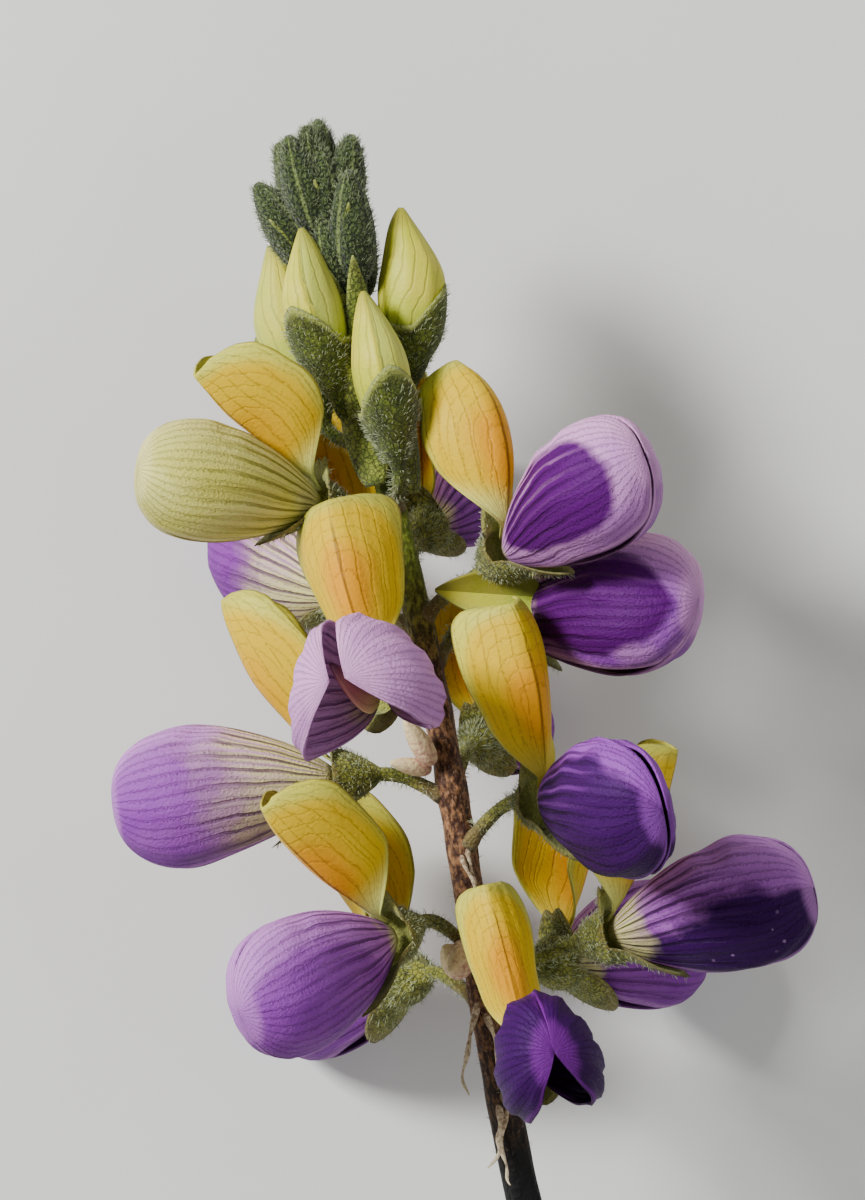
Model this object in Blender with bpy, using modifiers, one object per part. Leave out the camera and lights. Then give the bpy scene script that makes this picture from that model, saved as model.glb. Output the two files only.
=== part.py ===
"""Lupin flower spike: a cut raceme lying on the pea flowers of its underside.

Every size is in millimetres and is turned into metres where a mesh is made. The stem runs along +Y
towards its tip and +Z is up. Positions round the stem are given as a side angle in degrees: 0 is +X,
90 is straight up, 180 is -X and 270 is straight down.
"""

import math
from collections import namedtuple

import bmesh
import bpy
from mathutils import Matrix, Vector

MM = 0.001

# Stem: a slightly swaying round axis, cut square at its lower end.
STEM_CUT = -34.0
STEM_TOP = 43.2
STEM_THICK = 1.25
STEM_THIN = 0.7
STEM_SWAY = 0.5
STEM_SWAY_LENGTH = 33.0
STEM_SPACING = 3.0
JOIN_GAP = 0.18

# A pedicel leaves the stem lower than its calyx starts.
PEDICEL_RADIUS = 0.45
PEDICEL_DROP = 2.2
BUD_PEDICEL_DROP = 2.6
PEDICEL_LEAVE_ANGLE = 35.0

# Petals and sepals of a full-sized flower, measured from the bottom of its calyx.
FLOWER_LENGTH = 17.0
WALL = 0.26
CUP_DEPTH = 2.6
CUP_RADIUS = 2.0
CUP_INNER_START = 1.5
UPPER_LIP = 0.9
LOWER_LIP = 4.6
UPPER_LIP_SPREAD = 1.1
LOWER_LIP_SPREAD = 1.25
LIP_GAP = 0.62
LIP_LIFT_ANGLE = 90.0
LIP_BEND = 0.5
WING_START = 2.0
WING_HEIGHT = 9.0
WING_WIDTH = 6.4
WING_SLIT_ANGLE = 158.0
BANNER_LENGTH = 12.9
BANNER_WIDTH = 12.2
BANNER_FOOT = (2.45, 1.05)
BANNER_FOOT_ANGLE = 25.0
BANNER_CLAW_ANGLE = 40.0
BANNER_CLAW_LENGTH = 1.2
BANNER_CLAW_HALF_WIDTH = 0.6
BANNER_TAPER = 4.2
BANNER_FOLD_START = 28.0
BANNER_FOLD_END = 92.0
BANNER_RECURVE = 12.0
KEEL_START = 3.1
KEEL_LENGTH = 10.4
KEEL_HEIGHT = 2.5
KEEL_HALF_WIDTH = 0.55
KEEL_DIP = 0.9
KEEL_TIP_RISE = 1.4

# A closed bud: hairy calyx below, folded petals above.
BUD_LENGTH = 13.0
BUD_WIDTH = 3.7
BUD_HEIGHT = 4.3
BUD_PETAL_START = 1.4
BUD_CALYX_GAP = 0.3
BUD_INNER_START = 1.1
BUD_CUP_DEPTH = 4.2
BUD_UPPER_LIP = 1.6
BUD_LOWER_LIP = 3.2
BUD_UPPER_LIP_SPREAD = 1.2
BUD_LOWER_LIP_SPREAD = 1.4

CALYX_SEGMENTS = 8
PEDICEL_RINGS = 4
CUP_RINGS = 5
WING_RINGS = 7
WING_SEGMENTS = 8
BANNER_RINGS = 7
BANNER_SEGMENTS = 6
KEEL_RINGS = 7
BUD_RINGS = 7
TIP_BUD_RINGS = 6
ROUND_SEGMENTS = 8

# height, side and reach place the bottom of the calyx: along the stem, round it and out from its axis.
# heading and lift aim the flower: round the stem, and up towards the tip of the spike. roll turns it
# about its own axis. opening is the angle between its wings and its banner, and splay how far the
# wings spread apart along their open lower edge.
Flower = namedtuple(
    "Flower", "name height side reach heading lift roll size opening splay keel"
)
FLOWERS = (
    Flower("lower_left", -0.6, 136, 5.0, 137, -9, 0, 0.97, 45, 0.0, True),
    Flower("lower_front", -11.0, 68, 5.2, 83, 7, 2, 0.88, 74, 0.14, True),
    Flower("lower_right", -4.2, 10, 6.7, 18, 3, 0, 0.96, 46, 0.0, True),
    Flower("lower_back_right", -5.4, 314, 5.2, 312, -4, 0, 1.0, 48, 0.0, False),
    Flower("lower_back_left", -4.4, 226, 5.2, 230, -3, 0, 1.0, 52, 0.0, False),
    Flower("middle_left", 9.4, 176, 4.9, 181, 5, 0, 1.02, 48, 0.0, True),
    Flower("middle_right", 5.9, 42, 6.0, 59, -6, 4, 0.98, 70, 0.0, True),
    Flower("middle_back", 9.8, 292, 4.6, 290, 4, 0, 0.78, 54, 0.0, False),
    Flower("upper_front", 14.8, 118, 6.0, 104, 5, 4, 0.93, 72, 0.35, True),
    Flower("upper_right", 18.1, 330, 4.1, 36, -5, -24, 1.04, 30, 0.0, True),
    Flower("upper_back_left", 20.4, 226, 4.6, 235, 24, 0, 1.0, 44, 0.0, False),
    Flower("upper_back_right", 24.2, 284, 4.6, 291, 14, 0, 0.82, 46, 0.0, False),
    Flower("top_right", 21.2, 30, 5.7, 45, 18, -5, 0.97, 54, 0.0, True),
    Flower("top_left", 26.8, 150, 3.4, 152, 20, 0, 0.89, 28, 0.0, False),
)

# A bud's calyx starts out from the stem at height, side and reach, and the bud leans out from the
# stem by lean.
Bud = namedtuple("Bud", "name height side reach lean size")
BUDS = (
    Bud("bud_front", 29.0, 74, 3.6, 5, 0.9),
    Bud("bud_right", 34.2, 8, 3.1, 13, 0.9),
    Bud("bud_front_left", 34.2, 128, 3.0, 4, 0.88),
    Bud("bud_left", 33.0, 205, 3.4, 10, 0.95),
)

# The unopened buds that crowd the tip: height, side, reach, lean, length and width of each.
TIP_BUDS = (
    (43.2, 168, 1.5, 22, 6.4, 3.0),
    (41.4, 48, 1.75, 13, 7.4, 3.2),
    (42.4, 290, 1.75, 16, 6.6, 3.0),
    (45.2, 120, 1.0, 10, 6.6, 3.0),
    (45.6, 20, 1.1, 22, 5.8, 2.9),
    (45.4, 235, 1.1, 16, 5.6, 2.7),
    (47.4, 340, 0.6, 6, 5.2, 2.4),
)
TIP_CORE_START = 43.8
TIP_CORE_LENGTH = 6.4
TIP_CORE_WIDTH = 2.3

GREEN = (0.16, 0.20, 0.05)
STEM_BROWN = (0.10, 0.06, 0.04)
YELLOW = (0.80, 0.56, 0.13)
VIOLET = (0.24, 0.09, 0.36)
KEEL_PINK = (0.62, 0.42, 0.38)
BUD_YELLOW = (0.66, 0.64, 0.28)


def clear_scene():
    for old in list(bpy.data.objects):
        bpy.data.objects.remove(old)


def new_collection(name):
    collection = bpy.data.collections.new(name)
    bpy.context.scene.collection.children.link(collection)
    return collection


def plain_material(name, colour, roughness):
    material = bpy.data.materials.new(name)
    material.use_nodes = True
    shader = material.node_tree.nodes["Principled BSDF"]
    shader.inputs["Base Color"].default_value = (*colour, 1.0)
    shader.inputs["Roughness"].default_value = roughness
    shader.inputs["Metallic"].default_value = 0.0
    return material


def swell(t, rise, fall):
    """A hump over t from 0 to 1 whose peak is 1: a small rise or fall makes that end blunt."""
    t = min(max(t, 0.0), 1.0)
    peak = rise / (rise + fall)
    return (t / peak) ** rise * ((1 - t) / (1 - peak)) ** fall


def smooth(t):
    t = min(max(t, 0.0), 1.0)
    return t * t * (3 - 2 * t)


def stem_axis(height):
    return Vector((STEM_SWAY * math.sin(math.pi * height / STEM_SWAY_LENGTH), height, 0.0))


def stem_radius(height):
    share = (height - STEM_CUT) / (STEM_TOP - STEM_CUT)
    return STEM_THICK + (STEM_THIN - STEM_THICK) * share


def outward(side, lift=0.0):
    """Unit vector away from the stem at that side, raised towards the tip by lift."""
    a, e = math.radians(side), math.radians(lift)
    return Vector((math.cos(e) * math.cos(a), math.sin(e), math.cos(e) * math.sin(a)))


def aim(base, forward, up, roll, size):
    """Matrix from a flower's own frame, x forward and z towards its banner, to the spike's."""
    side = up.cross(forward).normalized()
    up = forward.cross(side)
    turn = Matrix((forward, side, up)).transposed() @ Matrix.Rotation(math.radians(roll), 3, "X")
    return Matrix.Translation(base) @ (turn * size).to_4x4()


def flower_frame(flower):
    base = stem_axis(flower.height) + flower.reach * outward(flower.side)
    up = outward(flower.heading, flower.lift + 90)
    return aim(base, outward(flower.heading, flower.lift), up, flower.roll, flower.size)


def bud_frame(height, side, reach, lean, size):
    base = stem_axis(height) + reach * outward(side)
    return aim(base, outward(side, 90 - lean), -outward(side, -lean), 0.0, size)


def finish(name, mesh, material, collection):
    mesh.shade_smooth()
    obj = bpy.data.objects.new(name, mesh)
    obj.data.materials.append(material)
    collection.objects.link(obj)
    return obj


def sheet(name, rings, segments, point, material, collection):
    """An open petal: a grid whose corner (u, v), each 0 to 1, goes to point(u, v), given a wall."""
    bm = bmesh.new()
    bmesh.ops.create_grid(bm, x_segments=rings, y_segments=segments, size=0.5)
    for vertex in bm.verts:
        vertex.co = point(vertex.co.x + 0.5, vertex.co.y + 0.5) * MM
    mesh = bpy.data.meshes.new(name)
    bm.to_mesh(mesh)
    bm.free()
    obj = finish(name, mesh, material, collection)
    wall = obj.modifiers.new("wall", "SOLIDIFY")
    wall.thickness = WALL * MM
    wall.offset = 0.0
    return obj


def lofted(name, rings, segments, point, material, collection):
    """A closed skin through rings cross-sections: a grid rolled up by point(u, v), its ends filled."""
    bm = bmesh.new()
    bmesh.ops.create_grid(bm, x_segments=rings, y_segments=segments, size=0.5)
    for vertex in bm.verts:
        vertex.co = point(vertex.co.x + 0.5, vertex.co.y + 0.5) * MM
    bmesh.ops.remove_doubles(bm, verts=bm.verts, dist=0.002 * MM)
    bmesh.ops.holes_fill(bm, edges=bm.edges, sides=segments + 1)
    bmesh.ops.recalc_face_normals(bm, faces=bm.faces)
    if bm.calc_volume(signed=True) < 0:
        bmesh.ops.reverse_faces(bm, faces=bm.faces)
    mesh = bpy.data.meshes.new(name)
    bm.to_mesh(mesh)
    bm.free()
    return finish(name, mesh, material, collection)


def make_stem(material, collection):
    curve = bpy.data.curves.new("stem", "CURVE")
    curve.dimensions = "3D"
    curve.bevel_depth = MM
    curve.bevel_resolution = 2
    curve.use_fill_caps = True
    spline = curve.splines.new("POLY")
    count = round((STEM_TOP - STEM_CUT) / STEM_SPACING)
    spline.points.add(count)
    for i, knot in enumerate(spline.points):
        height = STEM_CUT + (STEM_TOP - STEM_CUT) * i / count
        knot.co = (*(stem_axis(height) * MM), 1.0)
        knot.radius = stem_radius(height)
    stem = bpy.data.objects.new("stem", curve)
    curve.materials.append(material)
    collection.objects.link(stem)
    return stem


def wing_half_height(x):
    return WING_HEIGHT / 2 * swell((x - WING_START) / (FLOWER_LENGTH - WING_START), 0.8, 0.4)


def wing_half_width(x):
    return WING_WIDTH / 2 * swell((x - WING_START) / (FLOWER_LENGTH - WING_START), 0.9, 0.5)


def wing_point(splay):
    """The joined pair of wings: a pod from claw to tip, open along its lower edge."""

    def point(u, v):
        t = 0.03 + 0.968 * (1 - (1 - u) ** 2)
        x = WING_START + (FLOWER_LENGTH - WING_START) * t
        angle = math.radians(WING_SLIT_ANGLE) * (2 * v - 1)
        width, height = wing_half_width(x), wing_half_height(x)
        spread = splay * smooth(1.4 * t) * height * (1 - math.cos(angle))
        return Vector(
            (x, width * math.sin(angle) + math.copysign(spread, v - 0.5), height * math.cos(angle))
        )

    return point


def banner_point(opening):
    """The banner: a narrow claw that bends up from the cup, then a blade with its sides folded back."""

    def point(u, v):
        run = u * BANNER_LENGTH
        claw_run = min(run, BANNER_CLAW_LENGTH)
        claw_angle = math.radians(BANNER_CLAW_ANGLE)
        turned = smooth(run / BANNER_CLAW_LENGTH)
        rise_angle = BANNER_FOOT_ANGLE + (opening - BANNER_FOOT_ANGLE) * turned
        lean = math.radians(rise_angle + BANNER_RECURVE * u * u)
        foot = Vector((BANNER_FOOT[0], 0, BANNER_FOOT[1]))
        claw = claw_run * Vector((math.cos(claw_angle), 0, math.sin(claw_angle)))
        spine = foot + claw + (run - claw_run) * Vector((math.cos(lean), 0, math.sin(lean)))
        blade = BANNER_WIDTH / 2 * swell(0.06 + 0.935 * u, 0.75, 0.42)
        half = max(blade * smooth(run / BANNER_TAPER), BANNER_CLAW_HALF_WIDTH)
        across = abs(2 * v - 1) * half
        start = math.radians(BANNER_FOLD_START) * smooth(run / 3)
        grow = (math.radians(BANNER_FOLD_END) * smooth(run / 4) - start) / half + 1e-6
        aside = (math.sin(start + grow * across) - math.sin(start)) / grow
        back = (math.cos(start) - math.cos(start + grow * across)) / grow
        behind = Vector((-math.sin(lean), 0, math.cos(lean)))
        return spine + back * behind + Vector((0, math.copysign(aside, v - 0.5), 0))

    return point


def keel_point(u, v):
    """The keel: a flattened sickle between the wings."""
    x = KEEL_START + KEEL_LENGTH * u
    height = KEEL_HEIGHT / 2 * max(swell(0.08 + 0.9 * u, 0.5, 0.7), 0.15)
    widest = min(KEEL_HALF_WIDTH, 0.42 * wing_half_width(x))
    width = widest * max(swell(0.1 + 0.88 * u, 0.5, 0.5), 0.3)
    middle = KEEL_TIP_RISE * u * u - KEEL_DIP * math.sin(math.pi * u)
    angle = 2 * math.pi * v
    return Vector((x, width * math.sin(angle), middle + height * math.cos(angle)))


def off_top(angle):
    """The unsigned turn, 0 to pi, of that angle from the upper side."""
    return abs((angle + math.pi) % (2 * math.pi) - math.pi)


def lobe(turn, spread):
    """A rounded sepal: 1 on its midline, 0 from spread radians away."""
    return max(0.0, 1 - (turn / spread) ** 2) ** 1.2


def sepal_length(angle):
    """How far the calyx reaches at that angle from its top: a short upper lip, a long lower one."""
    upper = UPPER_LIP * lobe(off_top(angle), UPPER_LIP_SPREAD)
    lower = LOWER_LIP * lobe(math.pi - off_top(angle), LOWER_LIP_SPREAD)
    return CUP_DEPTH + upper + lower


def calyx_skin(x, angle, inset):
    """A point on the calyx at distance x from its bottom, inset from its outer face."""
    cup = PEDICEL_RADIUS + (CUP_RADIUS - PEDICEL_RADIUS) * smooth(0.25 + 0.75 * x / CUP_DEPTH) ** 0.8
    if off_top(angle) > math.pi / 2:
        radius = max(cup, wing_half_height(x) + LIP_GAP) - inset
        return Vector((x, radius * math.sin(angle) * 0.95, radius * math.cos(angle)))
    past = max(0.0, x - CUP_DEPTH)
    lift = math.radians(LIP_LIFT_ANGLE)
    lean = lift * smooth(past / LIP_BEND)
    radius = cup - inset * math.cos(lean)
    forward = x - past * (1 - math.cos(lift)) - (WALL - inset) * math.sin(lean)
    return Vector((forward, radius * math.sin(angle), radius * math.cos(angle) + past * math.sin(lift)))


def pedicel_path(frame, height, side, drop):
    """Points from the stem's skin to the bottom of a calyx, in the spike's frame."""
    base = frame.translation
    forward = frame.col[0].to_3d().normalized()
    root_height = height - drop
    leave = outward(side, PEDICEL_LEAVE_ANGLE)
    root = stem_axis(root_height) + (stem_radius(root_height) + JOIN_GAP) * outward(side)
    span = (base - root).length
    near = root + leave * span * 0.4
    far = base - forward * span * 0.4

    def at(t):
        s = 1 - t
        return s**3 * root + 3 * s * s * t * near + 3 * s * t * t * far + t**3 * base

    return at


def calyx_rings():
    return PEDICEL_RINGS + 2 * CUP_RINGS


def calyx_point(frame, path, skin, length_at, inner_start):
    """Skin of a pedicel with its calyx: out along the stalk and the sepals, then back inside them."""

    def point(u, v):
        ring = round(u * calyx_rings())
        angle = 2 * math.pi * v
        if ring < PEDICEL_RINGS:
            t = ring / PEDICEL_RINGS
            centre = path(t)
            ahead = (path(t + 0.01) - path(max(t - 0.01, 0))).normalized()
            up = frame.col[2].to_3d().normalized()
            aside = up.cross(ahead).normalized()
            up = ahead.cross(aside)
            return centre + PEDICEL_RADIUS * (math.sin(angle) * aside + math.cos(angle) * up)
        reach = length_at(angle)
        ring -= PEDICEL_RINGS
        if ring <= CUP_RINGS:
            return frame @ skin(reach * ring / CUP_RINGS, angle, 0.0)
        ring -= CUP_RINGS + 1
        if ring < CUP_RINGS - 1:
            return frame @ skin(max(reach * (1 - ring / CUP_RINGS), inner_start), angle, WALL)
        return frame @ skin(inner_start, angle, WALL)

    return point


def make_calyx(name, frame, path, skin, length_at, inner_start, material, collection):
    rings = calyx_rings()
    point = calyx_point(frame, path, skin, length_at, inner_start)
    return lofted(name, rings, CALYX_SEGMENTS, point, material, collection)


def in_frame(frame, point):
    return lambda u, v: frame @ point(u, v)


def make_flower(flower, materials, collection):
    frame = flower_frame(flower)
    name = flower.name
    path = pedicel_path(frame, flower.height, flower.side, PEDICEL_DROP)
    make_calyx(
        name + "_calyx", frame, path, calyx_skin, sepal_length, CUP_INNER_START,
        materials["calyx"], collection,
    )
    sheet(
        name + "_banner", BANNER_RINGS, BANNER_SEGMENTS, in_frame(frame, banner_point(flower.opening)),
        materials["banner"], collection,
    )
    sheet(
        name + "_wings", WING_RINGS, WING_SEGMENTS, in_frame(frame, wing_point(flower.splay)),
        materials["wings"], collection,
    )
    if flower.keel:
        lofted(
            name + "_keel", KEEL_RINGS, ROUND_SEGMENTS, in_frame(frame, keel_point),
            materials["keel"], collection,
        )


def bud_radii(x):
    """Half width and half height of a bud's folded petals at distance x from its bottom."""
    share = swell((x - BUD_PETAL_START) / (BUD_LENGTH - BUD_PETAL_START), 0.45, 0.75)
    return BUD_WIDTH / 2 * share, BUD_HEIGHT / 2 * share


def bud_petal_point(u, v):
    x = BUD_PETAL_START + (BUD_LENGTH - BUD_PETAL_START) * (0.02 + 0.96 * u)
    width, height = bud_radii(x)
    angle = 2 * math.pi * v
    return Vector((x, max(width, 0.2) * math.sin(angle), max(height, 0.2) * math.cos(angle)))


def bud_sepal_length(angle):
    upper = BUD_UPPER_LIP * lobe(off_top(angle), BUD_UPPER_LIP_SPREAD)
    lower = BUD_LOWER_LIP * lobe(math.pi - off_top(angle), BUD_LOWER_LIP_SPREAD)
    return BUD_CUP_DEPTH + upper + lower


def bud_skin(x, angle, inset):
    width, height = bud_radii(max(x, BUD_PETAL_START + 0.4))
    start = smooth(0.3 + 0.7 * x / 1.8)
    clear = BUD_CALYX_GAP + WALL - inset
    wide = PEDICEL_RADIUS + (max(width, 0.9) + clear - PEDICEL_RADIUS) * start
    high = PEDICEL_RADIUS + (max(height, 1.1) + clear - PEDICEL_RADIUS) * start
    return Vector((x, wide * math.sin(angle), high * math.cos(angle)))


def make_bud(bud, materials, collection):
    frame = bud_frame(bud.height, bud.side, bud.reach, bud.lean, bud.size)
    path = pedicel_path(frame, bud.height, bud.side, BUD_PEDICEL_DROP)
    make_calyx(
        bud.name + "_calyx", frame, path, bud_skin, bud_sepal_length, BUD_INNER_START,
        materials["calyx"], collection,
    )
    lofted(
        bud.name + "_petals", BUD_RINGS, ROUND_SEGMENTS, in_frame(frame, bud_petal_point),
        materials["bud"], collection,
    )


def teardrop(length, width):
    """Skin of a small closed bud, pointed at its top."""

    def point(u, v):
        share = swell(0.03 + 0.95 * u, 0.4, 0.7)
        angle = 2 * math.pi * v
        return Vector((length * u, width / 2 * share * math.sin(angle), width / 2 * share * math.cos(angle)))

    return point


def make_tip(material, collection, cutters):
    """The growing tip with its small unopened buds, joined into one piece."""
    core_frame = bud_frame(TIP_CORE_START, 0, 0, 0, 1.0)
    core = teardrop(TIP_CORE_LENGTH, TIP_CORE_WIDTH)
    tip = lofted(
        "tip_buds", TIP_BUD_RINGS, ROUND_SEGMENTS, in_frame(core_frame, core), material, collection
    )
    for i, (height, side, reach, lean, length, width) in enumerate(TIP_BUDS):
        frame = bud_frame(height, side, reach, lean, 1.0)
        bud = lofted(
            f"tip_bud_{i}", TIP_BUD_RINGS, ROUND_SEGMENTS, in_frame(frame, teardrop(length, width)),
            material, cutters,
        )
        bud.hide_render = True
        bud.display_type = "WIRE"
        join = tip.modifiers.new(bud.name, "BOOLEAN")
        join.operation = "UNION"
        join.object = bud
    return tip


def set_origin(collection):
    """Moves the spike so that the middle of its underside is the origin."""
    bpy.context.view_layer.update()
    graph = bpy.context.evaluated_depsgraph_get()
    corners = []
    for obj in collection.objects:
        shown = obj.evaluated_get(graph).to_mesh()
        corners += [obj.matrix_world @ vertex.co for vertex in shown.vertices]
    low = Vector(min(corner[i] for corner in corners) for i in range(3))
    high = Vector(max(corner[i] for corner in corners) for i in range(3))
    middle = Vector(((low.x + high.x) / 2, (low.y + high.y) / 2, low.z))
    for obj in list(collection.objects) + list(bpy.data.collections["tip_joins"].objects):
        obj.location -= middle


def main():
    clear_scene()
    spike = new_collection("lupin_flower_spike")
    tip_joins = new_collection("tip_joins")
    materials = {
        "stem": plain_material("stem", STEM_BROWN, 0.7),
        "calyx": plain_material("calyx", GREEN, 0.8),
        "banner": plain_material("banner", YELLOW, 0.55),
        "wings": plain_material("wings", VIOLET, 0.5),
        "keel": plain_material("keel", KEEL_PINK, 0.5),
        "bud": plain_material("bud", BUD_YELLOW, 0.6),
    }
    make_stem(materials["stem"], spike)
    for flower in FLOWERS:
        make_flower(flower, materials, spike)
    for bud in BUDS:
        make_bud(bud, materials, spike)
    make_tip(materials["calyx"], spike, tip_joins)
    set_origin(spike)


main()
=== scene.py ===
"""Lupin flower spike lying on a pale surface: fine petals, hairy calyxes, buds, stem and dried strands.

Shapes are worked out in millimetres in the spike's own frame: the stem runs along +Y towards its tip
and +Z is up. A side angle goes round the stem in degrees: 0 is +X and 90 is straight up.
"""

import math
import random
from collections import namedtuple

import bpy
from mathutils import Matrix, Vector, noise


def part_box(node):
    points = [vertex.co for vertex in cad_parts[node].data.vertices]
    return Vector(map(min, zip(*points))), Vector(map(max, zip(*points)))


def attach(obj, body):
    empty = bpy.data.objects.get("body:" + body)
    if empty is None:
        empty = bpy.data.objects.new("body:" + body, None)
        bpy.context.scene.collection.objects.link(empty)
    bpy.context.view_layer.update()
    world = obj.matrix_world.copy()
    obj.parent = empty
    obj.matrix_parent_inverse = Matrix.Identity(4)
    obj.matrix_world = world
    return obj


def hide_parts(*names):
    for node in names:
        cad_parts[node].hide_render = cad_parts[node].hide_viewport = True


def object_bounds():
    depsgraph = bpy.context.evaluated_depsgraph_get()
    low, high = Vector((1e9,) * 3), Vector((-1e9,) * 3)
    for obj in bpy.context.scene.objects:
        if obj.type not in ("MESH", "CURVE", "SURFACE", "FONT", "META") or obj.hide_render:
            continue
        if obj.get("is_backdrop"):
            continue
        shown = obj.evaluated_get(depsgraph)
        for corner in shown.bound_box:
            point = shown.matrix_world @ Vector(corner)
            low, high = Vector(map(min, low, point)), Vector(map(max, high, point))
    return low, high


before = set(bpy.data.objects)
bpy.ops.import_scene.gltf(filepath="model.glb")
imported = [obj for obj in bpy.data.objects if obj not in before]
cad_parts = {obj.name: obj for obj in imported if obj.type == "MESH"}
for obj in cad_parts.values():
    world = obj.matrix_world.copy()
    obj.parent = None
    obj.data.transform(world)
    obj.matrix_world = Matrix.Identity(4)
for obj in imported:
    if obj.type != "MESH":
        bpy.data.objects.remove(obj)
cad_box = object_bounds()

MM = 0.001

# Stem, pedicels and calyxes.
STEM_CUT = -34.0
STEM_TOP = 43.2
STEM_THICK = 1.25
STEM_THIN = 0.7
STEM_SWAY = 0.5
STEM_SWAY_LENGTH = 33.0
STEM_KNOTS = 26
STEM_RINGS = 150
STEM_SEGMENTS = 28
STEM_HAIRS = 900
STEM_HAIR_LENGTH = 0.38
STEM_HAIR_RADIUS = 0.014
HAIR_RADIUS = 0.024
HAIR_SWAY = 0.45
JOIN_GAP = 0.05
STALK_SINK = 0.3
PEDICEL_RADIUS = 0.45
PEDICEL_DROP = 2.2
BUD_PEDICEL_DROP = 2.6
PEDICEL_LEAVE_ANGLE = 35.0
CUP_DEPTH = 2.6
CUP_RADIUS = 2.0
CUP_INNER_START = 1.5
UPPER_LIP = 1.7
LOWER_LIP = 4.6
FRONT_LOWER_LIP = 3.0
UPPER_LIP_SPREAD = 1.1
LOWER_LIP_SPREAD = 1.25
LIP_GAP = 0.5
LIP_LIFT_ANGLE = 84.0
LIP_BEND = 0.5
CALYX_WALL = 0.2
CALYX_NARROWING = 0.95
CALYX_RINGS = (14, 18, 12)
CALYX_SEGMENTS = 40
CUP_HAIRS = 560
CUP_HAIR_LENGTH = 0.4
STALK_HAIRS = 120

# Petals of a full-sized flower, measured from the bottom of its calyx.
FLOWER_LENGTH = 17.0
PETAL_WALL = 0.15
WING_START = 2.0
WING_HEIGHT = 9.0
WING_WIDTH = 6.4
WING_SLIT_ANGLE = 160.0
WING_ROWS = 44
WING_COLUMNS = 26
BANNER_LENGTH = 12.9
BANNER_WIDTH = 12.2
BANNER_FOOT = (2.45, 1.05)
BANNER_FOOT_ANGLE = 25.0
BANNER_CLAW_ANGLE = 40.0
BANNER_CLAW_LENGTH = 1.2
BANNER_CLAW_HALF_WIDTH = 0.6
BANNER_TAPER = 4.2
BANNER_FOLD_START = 28.0
BANNER_RECURVE = 12.0
KEEL_START = 3.1
KEEL_LENGTH = 10.4
KEEL_HEIGHT = 2.5
KEEL_HALF_WIDTH = 0.55
KEEL_DIP = 0.9
KEEL_TIP_RISE = 1.4
KEEL_SHARE = 0.42

BUD_LENGTH = 13.0
BUD_WIDTH = 3.7
BUD_HEIGHT = 4.3
BUD_PETAL_START = 1.4
BUD_CALYX_GAP = 0.12
BUD_INNER_START = 1.1
BUD_CUP_DEPTH = 4.2
BUD_UPPER_LIP = 1.6
BUD_LOWER_LIP = 3.2
BUD_UPPER_LIP_SPREAD = 1.2
BUD_LOWER_LIP_SPREAD = 1.4
BUD_TIP_HALF_WIDTH = 0.12
FELT_HAIRS = 700
FELT_HAIR_LENGTH = 0.42
BRACT_WALL = 0.12

# Rows and columns of each kind of piece.
BANNER_GRID = (46, 40)
KEEL_GRID = (24, 16)
BUD_GRID = (40, 56)
TIP_BUD_GRID = (26, 36)
BRACT_GRID = (22, 8)
SCRAP_GRID = (22, 28)
FOLD_GRID = (26, 14)
STRAND_GRID = (40, 8)

# The camera in millimetres and degrees, then the floor, lamps and sky in metres and watts.
CAMERA_LENS = 150.0
CAMERA_SENSOR = 36.0
CAMERA_PLACE = (1.6, 19.9, 330.0)
CAMERA_TURN = 11.67
FLOOR_HALF = 1.5
LAMPS = {  # place, size and power
    "key": ((-0.34, 0.30, 0.34), 0.14, 6.0),
    "fill": ((0.42, -0.05, 0.40), 0.45, 0.8),
    "low": ((-0.05, -0.45, 0.30), 0.40, 0.5),
}
LAMPS_AIM = (0.0, 0.0, 0.02)
SKY_COLOUR = (0.95, 0.97, 1.0, 1.0)
SKY_STRENGTH = 0.32

# height, side and reach place the bottom of the calyx; heading and lift aim the flower; opening is the
# angle between its wings and its banner, and splay how far the wings part along their lower edge.
Flower = namedtuple("Flower", "name height side reach heading lift roll size opening splay")
FLOWERS = (
    Flower("lower_left", -0.6, 136, 5.0, 137, -9, 0, 0.97, 45, 0.0),
    Flower("lower_front", -11.0, 68, 5.2, 83, 7, 2, 0.88, 74, 0.14),
    Flower("lower_right", -4.2, 10, 6.7, 18, 3, 0, 0.96, 46, 0.0),
    Flower("lower_back_right", -5.4, 314, 5.2, 312, -4, 0, 1.0, 48, 0.0),
    Flower("lower_back_left", -4.4, 226, 5.2, 230, -3, 0, 1.0, 52, 0.0),
    Flower("middle_left", 9.4, 176, 4.9, 181, 5, 0, 1.02, 48, 0.0),
    Flower("middle_right", 5.9, 42, 6.0, 59, -6, 4, 0.98, 70, 0.0),
    Flower("middle_back", 9.8, 292, 4.6, 290, 4, 0, 0.78, 54, 0.0),
    Flower("upper_front", 14.8, 118, 6.0, 104, 5, 4, 0.93, 72, 0.35),
    Flower("upper_right", 18.1, 330, 4.1, 36, -5, -24, 1.04, 30, 0.0),
    Flower("upper_back_left", 20.4, 226, 4.6, 235, 24, 0, 1.0, 44, 0.0),
    Flower("upper_back_right", 24.2, 284, 4.6, 291, 14, 0, 0.82, 46, 0.0),
    Flower("top_right", 21.2, 30, 5.7, 45, 18, -5, 0.97, 54, 0.0),
    Flower("top_left", 26.8, 150, 3.4, 152, 20, 0, 0.89, 28, 0.0),
)
CAD_KEELS = {
    "lower_left", "lower_front", "lower_right", "middle_left",
    "middle_right", "upper_front", "upper_right", "top_right",
}

Bud = namedtuple("Bud", "name height side reach lean size")
BUDS = (
    Bud("bud_front", 29.0, 74, 3.6, 5, 0.9),
    Bud("bud_right", 34.2, 8, 3.1, 13, 0.9),
    Bud("bud_front_left", 34.2, 128, 3.0, 4, 0.88),
    Bud("bud_left", 33.0, 205, 3.4, 10, 0.95),
)

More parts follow.
